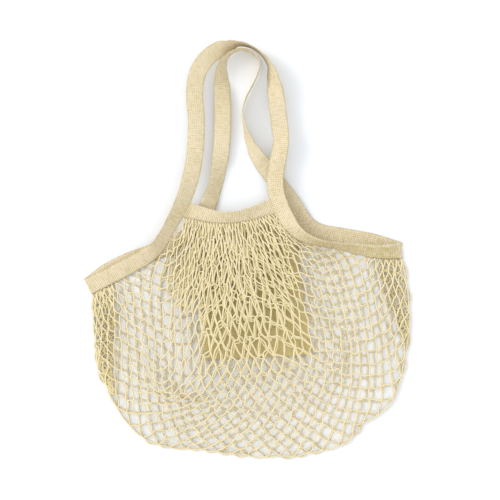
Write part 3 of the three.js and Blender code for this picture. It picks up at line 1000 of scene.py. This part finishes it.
def rim_heights(edges):
    """How high the mouth lies above each knot, and the rim beside it."""
    left, top, right = edges
    along_top = spread(top, np.arange(COLUMNS + 1) / COLUMNS)[:, 2]
    down_left = spread(left, crowded(ROWS, RIM_CROWD))[:, 2]
    down_right = spread(right, crowded(ROWS, RIGHT_CROWD))[:, 2]
    return along_top[knot_column], np.where(knot_u < 0.5, down_left[knot_row], down_right[knot_row])


def beside_rim(steepness):
    """1 at the sides of the net, falling to 0 towards its middle."""
    return np.clip(1 - np.minimum(knot_u, 1 - knot_u) * steepness, 0, 1)


def front_heights(edges, seed):
    mouth, side = rim_heights(edges)
    swell = np.sin(np.pi * np.clip(knot_u, 0.02, 0.98)) * np.sin(np.pi * knot_v).clip(0)
    rim = np.maximum(mouth, FRONT_FOOT) * (1 - knot_v) + FRONT_FOOT * knot_v
    near_side = beside_rim(12) ** 2
    body = rim * (1 - near_side) + side * near_side
    noise = np.random.default_rng(seed).normal(0, 0.0006, len(knot_row))
    body = body + NET_LOFT * swell**SWELL_POWER * (1 - near_side) + noise * ~on_edge
    return np.maximum(body, FRONT_FOOT)


def back_heights(edges):
    mouth, side = rim_heights(edges)
    near_side = beside_rim(30)
    near_top = np.clip(1 - knot_v * 8, 0, 1)
    body = STRING_RADIUS + (mouth - STRING_RADIUS).clip(0) * near_top**2
    return np.maximum(body * (1 - near_side) + side * near_side, STRING_RADIUS)


front_knots = np.column_stack([front_plan, front_heights(front_edges, 21)])
back_knots = np.column_stack([back_plan, back_heights(back_edges)])

# %% [markdown]
# ## Strings
#
# A string is a tube along a smooth line through its knots. Halfway along each bar the line is
# pushed aside, a little for a tight bar and more for a slack one, so no two meshes are alike.


# %% Tubes
SIDES = 6
STEPS_PER_BAR = 8
SWELL_STEPS = 6
SLACK_SHARE = 0.12
BOW = 0.0013
BAR_LIFT = 0.0004


def tube(line, radii):
    """Points, quads, cap triangles and UV of a tube along a line of points."""
    ahead = unit(np.gradient(line, axis=0))
    across = np.cross(ahead, UP)
    weak = np.linalg.norm(across, axis=1) < 0.1
    across[weak] = np.cross(ahead[weak], [0, 1.0, 0])
    across = unit(across)
    rings = rings_about(line, across, np.cross(across, ahead), radii[:, None, None], SIDES)
    length = run_lengths(line)
    points = np.vstack([rings.reshape(-1, 3), line[0], line[-1]])
    uv = np.vstack([grid_uv(length, np.arange(SIDES) / SIDES), [0, 0], [length[-1], 0]])
    # Unlike those of a strip, these caps are wound the other way round from the sides.
    caps = end_caps(len(line), SIDES)[:, [1, 0, 2]]
    return points, ring_grid(len(line), SIDES)[:, ::-1], caps, uv


def join_tubes(parts):
    """The points, quads, triangles and UV of many tubes as those of one mesh."""
    points, quads, triangles, uvs = zip(*parts)
    starts = np.cumsum([0] + [len(part) for part in points])
    quads = [part + start for part, start in zip(quads, starts)]
    triangles = [part + start for part, start in zip(triangles, starts)]
    return [np.vstack(arrays) for arrays in (points, quads, triangles, uvs)]


def bowed(stops, between, steps):
    """A smooth line through stops and the points between them, in steps from stop to stop."""
    course = np.empty((2 * len(stops) - 1, 3))
    course[::2] = stops
    course[1::2] = between
    return smooth_line(course, np.linspace(0, len(course) - 1, (len(stops) - 1) * steps + 1))


def string_lines(places, lines, seed, floor):
    """The smooth middle line of each string, with a bow in each bar."""
    rng = np.random.default_rng(seed)
    made = []
    for line in lines:
        stops = places[line]
        along = np.diff(stops, axis=0)
        now = np.linalg.norm(along, axis=1)
        slack = np.sqrt(np.clip(BAR**2 - now**2, 0, None)) * SLACK_SHARE
        bow = rng.normal(0, 1, len(along)) * BOW + rng.choice([-1, 1], len(along)) * slack
        middle = (stops[1:] + stops[:-1]) / 2 + unit(turned_left(along)) * bow[:, None]
        middle[:, 2] += np.abs(rng.normal(0, BAR_LIFT, len(along)))
        smooth = bowed(stops, middle, STEPS_PER_BAR)
        smooth[:, 2] = np.maximum(smooth[:, 2], floor)
        made.append(smooth)
    return made


def string_piece(name, lines, seed, replaces, material=string_cotton):
    rng = np.random.default_rng(seed)
    parts = []
    for line in lines:
        marks = np.arange(0, len(line) + SWELL_STEPS, SWELL_STEPS)
        swell = np.interp(np.arange(len(line)), marks, rng.normal(1, 0.07, len(marks)))
        parts.append(tube(line, STRING_RADIUS * swell))
    points, quads, triangles, uv = join_tubes(parts)
    new_piece(name, points, quads, material, replaces, uv, triangles)


for layer, places, floor, seed in (
    ("front", front_knots, FRONT_FOOT - CLEARANCE, 31), ("back", back_knots, STRING_RADIUS, 35),
):
    for side, family in (("right", falling_right), ("left", falling_left)):
        lines = string_lines(places, family, seed, floor)
        string_piece(f"{layer}_net_{side}", lines, seed, (f"net_{layer}",))
        seed += 1

# %% [markdown]
# Under the band the net is pleated, so two more sets of meshes lie in the gaps of the first for the
# first rows. Each starts part of a mesh aside and a little lower, and runs into the knots of the
# first set where the pleats open. They lie in the shade of the first, and that shade is painted into
# their string as a deeper straw colour.

# %% Pleats
PLEAT_EASE = 1.6
PANEL_MIDDLE_COLUMN, PANEL_HALF_COLUMNS, PANEL_TOP_ROW = 31, 13, 7
PLEATED_COLUMNS = (2, COLUMNS - 8)

mesh_pitch = np.linalg.norm(front_knots[knot_number[2, 0]] - front_knots[knot_number[0, 0]])
off_panel = np.abs(knot_column - PANEL_MIDDLE_COLUMN) > PANEL_HALF_COLUMNS
beside_panel = (knot_row > PANEL_TOP_ROW) & off_panel
for pleat_name, pleat_rows, aside, lower, deeper, seed in (
    ("near_pleats", 15, 0.50, 0.50, 0.0012, 61), ("far_pleats", 10, 0.78, 0.85, 0.0021, 63),
):
    open_share = np.clip(PLEAT_EASE - PLEAT_EASE * knot_row / pleat_rows, 0, 1)
    pleat_knots = front_knots.copy()
    pleat_knots[:, 0] += open_share * mesh_pitch * aside
    pleat_knots[:, 1] -= open_share * BAR * lower * (knot_row > 0)
    pleat_knots[:, 2] -= open_share * deeper
    open_now = (knot_row > pleat_rows) | beside_panel
    pleats = [line[np.cumsum(open_now[line]) == 0] for line in both_families]
    first, last = PLEATED_COLUMNS
    pleats = [line for line in pleats if len(line) > 2 and first < knot_column[line[-1]] < last]
    lines = string_lines(pleat_knots, pleats, seed, FRONT_FOOT)
    string_piece(pleat_name, lines, seed, ("net_front",), painted_shade_string_cotton)

# %% [markdown]
# Where the band meets the two straps, the tapes are sewn over each other, and the seam stands up as
# a low ridge between them.

# %% Seams of the band
lows, highs, _, _ = front_band
ridges = []
for index, toward in ((0, 1), (-1, -2)):
    inward = unit(lows[toward] - lows[index])
    rise = np.linspace(0.03, 0.97, 14)[:, None]
    ridges.append(lows[index] + (highs[index] - lows[index]) * rise - inward * 0.0007)
string_piece("band_seams", ridges, 66, ("band_front",))

# %% [markdown]
# At both sides the bag has more net than room, and the extra folds in between the two layers. It
# hangs from the gathered end of each rim as a strip of long narrow meshes along the outline.


# %% Side folds
FOLD_COLUMNS, FOLD_ROWS = 6, 20
FOLD_INSET = 0.002
FOLD_HEIGHT = 0.0034
FOLD_NARROWS = 0.8
FOLD_HANG_ROWS = 4


def fold_lines(rim, outline, width, reach, seed):
    """The middle lines of a folded-in strip that hangs from a rim and follows the outline."""
    rng = np.random.default_rng(seed)
    rows = np.arange(FOLD_ROWS + 1)
    down = rows / FOLD_ROWS
    edge = spread(outline, down * reach)
    inward = turned_left(unit(spread(outline, down * reach + 0.004) - edge))[:, :2]
    inward *= np.sign((-edge * inward).sum(1, keepdims=True))
    share = np.arange(FOLD_COLUMNS + 1) / FOLD_COLUMNS
    breadth = width * (1 - FOLD_NARROWS * down**2)
    strip = edge[None] + inward[None] * (FOLD_INSET + breadth[None] * share[:, None])[..., None]
    start = spread(rim[:, :2], share * width / run_lengths(rim)[-1])
    hang = np.clip(rows / FOLD_HANG_ROWS, 0, 1)[None, :, None]
    level = strip * hang + start[:, None] * (1 - hang)
    level += np.array([0, -BAR * 0.5]) * rows[None, :, None] * (1 - hang)
    level += rng.normal(0, 0.0011, level.shape) * hang
    height = FOLD_HEIGHT + rng.normal(0, 0.0004, level.shape[:2])
    number = np.arange(height.size).reshape(height.shape)
    lines = lattice_strings(number, 1, 3) + lattice_strings(number, -1, 3)
    return string_lines(np.dstack([level, height]).reshape(-1, 3), lines, seed, STRING_RADIUS)


left_rim, _, right_rim = front_edges
front_outline = outline_line(left_rim, right_rim)
for fold_name, rim, outline, width, reach, layers in (
    ("left_fold", left_rim[::-1], front_outline, 0.032, 0.18, 2),
    ("right_fold", right_rim[::-1], front_outline[::-1], 0.034, 0.15, 1),
):
    for part in range(1, layers + 1):
        lines = fold_lines(rim, outline, width, reach, 76 + part)
        # The folded strips lie under the front layer, and their string has painted shade too.
        string_piece(f"{fold_name}_{part}", lines, 73 + part, ("net_front",), painted_shade_string_cotton)

# %% [markdown]
# ## Knots
#
# At each crossing the strings are knotted. The knot is a short wrap round both strings, a little
# thicker than they are, and it is what makes the net look like net in a raking light.


# %% Knots
KNOT_RINGS, KNOT_SIDES = 8, 4
KNOT_THREAD = STRING_RADIUS * 0.62


def knot_piece(name, places, seed, replaces):
    """A small wrap round the crossing at each knot."""
    rng = np.random.default_rng(seed)
    heading = np.zeros((len(places), 3))
    for line in falling_right:
        heading[line] += np.gradient(places[line], axis=0) * [1, 1, 0.2]
    angle = np.linspace(0, 2 * np.pi, KNOT_RINGS + 1)[:-1]
    cosine, sine = np.cos(angle)[:, None], np.sin(angle)[:, None]
    quads = ring_grid(KNOT_RINGS, KNOT_SIDES, closed=True)
    parts = []
    for place, ahead in zip(places, unit(heading)):
        if not np.linalg.norm(ahead):
            continue
        turn = rng.uniform(0, np.pi)
        side = np.array([-ahead[1], ahead[0], 0])
        slant = unit(side * math.cos(turn) * 0.5 + side + ahead * 0.35)
        size = STRING_RADIUS * rng.normal(1.25, 0.1)
        loop = place + size * (slant * cosine + UP * sine * 0.75)
        axis = unit(np.cross(slant, UP))[None]
        points = rings_about(loop, unit(loop - place), axis, KNOT_THREAD, KNOT_SIDES)
        points[..., 2] = np.maximum(points[..., 2], LEAST_HEIGHT)
        uv = grid_uv(angle * size, np.arange(KNOT_SIDES) / KNOT_SIDES)
        parts.append((points.reshape(-1, 3), quads, np.zeros((0, 3), int), uv))
    points, quads, _, uv = join_tubes(parts)
    new_piece(name, points, quads, string_cotton, replaces, uv)


knot_piece("front_knots", front_knots, 41, ("net_front",))
knot_piece("back_knots", back_knots, 42, ("net_back",))

# %% [markdown]
# ## The edge of the net
#
# Along the outline a last string runs from knot to knot, where the front turns over into the back.
# It hangs in shallow loops, two strands deep in most places.

# %% Edge strings
outer_knots = knot_number[:, ROWS][knot_number[:, ROWS] >= 0]


def edge_line(seed, reach, height):
    """A string through the outline's knots that swells out between them."""
    rng = np.random.default_rng(seed)
    stops = front_knots[outer_knots]
    stops[:, 2] = height
    inward = unit(turned_left(np.diff(stops, axis=0)))
    bulge = np.clip(rng.normal(reach, reach * 0.5 + 0.0004, len(inward)), -0.002, 0.0045)
    return bowed(stops, (stops[1:] + stops[:-1]) / 2 - inward * bulge[:, None], 10)


edge_lines = [edge_line(51, 0.0034, 0.0022), edge_line(52, 0.0010, 0.0034)]
string_piece("edge_string", edge_lines, 53, ("net_front",))

# %% [markdown]
# ## The pocket panel
#
# Inside hangs a plain woven panel, sewn in under the band. It shows through the net as an even tan
# ground. It has a narrow hem and soft waves, because nothing holds its lower edge.

# %% Panel
PANEL_SEAM = (0.306, 0.53, 0.81)
LEFT_RIM_SHARE, RIGHT_RIM_SHARE = 0.2, 0.75
PANEL_ACROSS, PANEL_DOWN = 120, 150


def mouth_at(u):
    """A place along the front's mouth, counted as the solid counts it."""
    left, top, right = front_edges
    if u <= LEFT_RIM_SHARE:
        return spread(left[::-1], [u / LEFT_RIM_SHARE])[0]
    if u >= RIGHT_RIM_SHARE:
        return spread(right, [(u - RIGHT_RIM_SHARE) / (1 - RIGHT_RIM_SHARE)])[0]
    return spread(top, [(u - LEFT_RIM_SHARE) / (RIGHT_RIM_SHARE - LEFT_RIM_SHARE)])[0]


panel_rest = NET_THICKNESS + CLEARANCE + PANEL_THICKNESS / 2
panel_hung = (NET_THICKNESS + PANEL_THICKNESS) / 2 + 2 * CLEARANCE
lowest = level_at(0) - BAND_SAG - TAPE_WIDTH / 2 - PANEL_DROP
seam_middle = mouth_at(PANEL_SEAM[1])[0]
foot_left = np.array([seam_middle - 0.33 * PANEL_WIDTH, lowest])
foot_right = np.array([seam_middle + 0.695 * PANEL_WIDTH, lowest + 0.04 * PANEL_DROP])
across = np.linspace(0, 1, PANEL_ACROSS + 1)
down = np.linspace(0, 1, PANEL_DOWN + 1)
seam = np.array([mouth_at(PANEL_SEAM[0] + (PANEL_SEAM[2] - PANEL_SEAM[0]) * a) for a in across])
foot = foot_left + (foot_right - foot_left) * across[:, None]
plan = seam[:, None, :2] * (1 - down)[None, :, None] + foot[:, None] * down[None, :, None]
fall = (1 - down[None, :]) ** 3
height = panel_rest + np.maximum(seam[:, 2] - panel_hung - panel_rest, 0)[:, None] * fall
waves = np.sin(across[:, None] * 21 + down[None, :] * 3) + np.sin(across[:, None] * 9 - down[None, :] * 5)
height = height + 0.0003 * (waves + 2) * down[None, :]
hem = 1 + 0.5 * (down[None, :] > 0.965) + 0 * across[:, None]
sheet = np.dstack([plan, height])
top_face = sheet + UP * (PANEL_THICKNESS / 2 * hem)[..., None]
low_face = sheet - UP * (PANEL_THICKNESS / 2)
size = (PANEL_ACROSS + 1) * (PANEL_DOWN + 1)
number = np.arange(size).reshape(PANEL_ACROSS + 1, PANEL_DOWN + 1)


def sheet_quads(grid):
    return np.stack([grid[:-1, :-1], grid[:-1, 1:], grid[1:, 1:], grid[1:, :-1]], -1).reshape(-1, 4)


def wall_quads(line):
    return np.stack([line[:-1], line[1:], line[1:] + size, line[:-1] + size], -1)


rim_numbers = np.concatenate([number[:, 0], number[-1, 1:], number[-2::-1, -1], number[0, -2::-1]])
panel_quads = np.vstack([
    sheet_quads(number), sheet_quads(number)[:, ::-1] + size, wall_quads(rim_numbers),
])
panel_uv = grid_uv(across * PANEL_WIDTH, down * PANEL_DROP)
panel = new_piece(
    "panel", np.vstack([top_face.reshape(-1, 3), low_face.reshape(-1, 3)]), panel_quads,
    panel_cotton, ("pocket_panel",), np.vstack([panel_uv, panel_uv + 0.0001]),
)

# %% [markdown]
# ## Floor and light
#
# A white sheet that fills the picture, a broad soft lamp from the upper left, and a bright even
# surround. The shadows stay pale and fall to the right, with a soft edge.

# %% Stage
floor_mesh = bpy.data.meshes.new("floor")
floor_mesh.from_pydata([(-3, -3, 0), (3, -3, 0), (3, 3, 0), (-3, 3, 0)], [], [(0, 1, 2, 3)])
floor = bpy.data.objects.new("floor", floor_mesh)
bpy.context.collection.objects.link(floor)
floor.location.z = -0.0002
paper = bpy.data.materials.new("paper")
paper.use_nodes = True
paper_shader = paper.node_tree.nodes["Principled BSDF"]
paper_shader.inputs["Base Color"].default_value = (0.862, 0.877, 0.902, 1)
paper_shader.inputs["Roughness"].default_value = 0.9
floor_mesh.materials.append(paper)

sun_data = bpy.data.lights.new("key", "SUN")
sun_data.energy = 1.25
sun_data.angle = math.radians(24)
sun = bpy.data.objects.new("key", sun_data)
sun.rotation_euler = (math.radians(-16), math.radians(-56), 0)
bpy.context.collection.objects.link(sun)

world = bpy.data.worlds.new("surround")
bpy.context.scene.world = world
world.use_nodes = True
surround = world.node_tree.nodes["Background"]
surround.inputs["Color"].default_value = (0.97, 0.985, 1, 1)
surround.inputs["Strength"].default_value = 1.08
bpy.context.scene.view_settings.view_transform = "Standard"
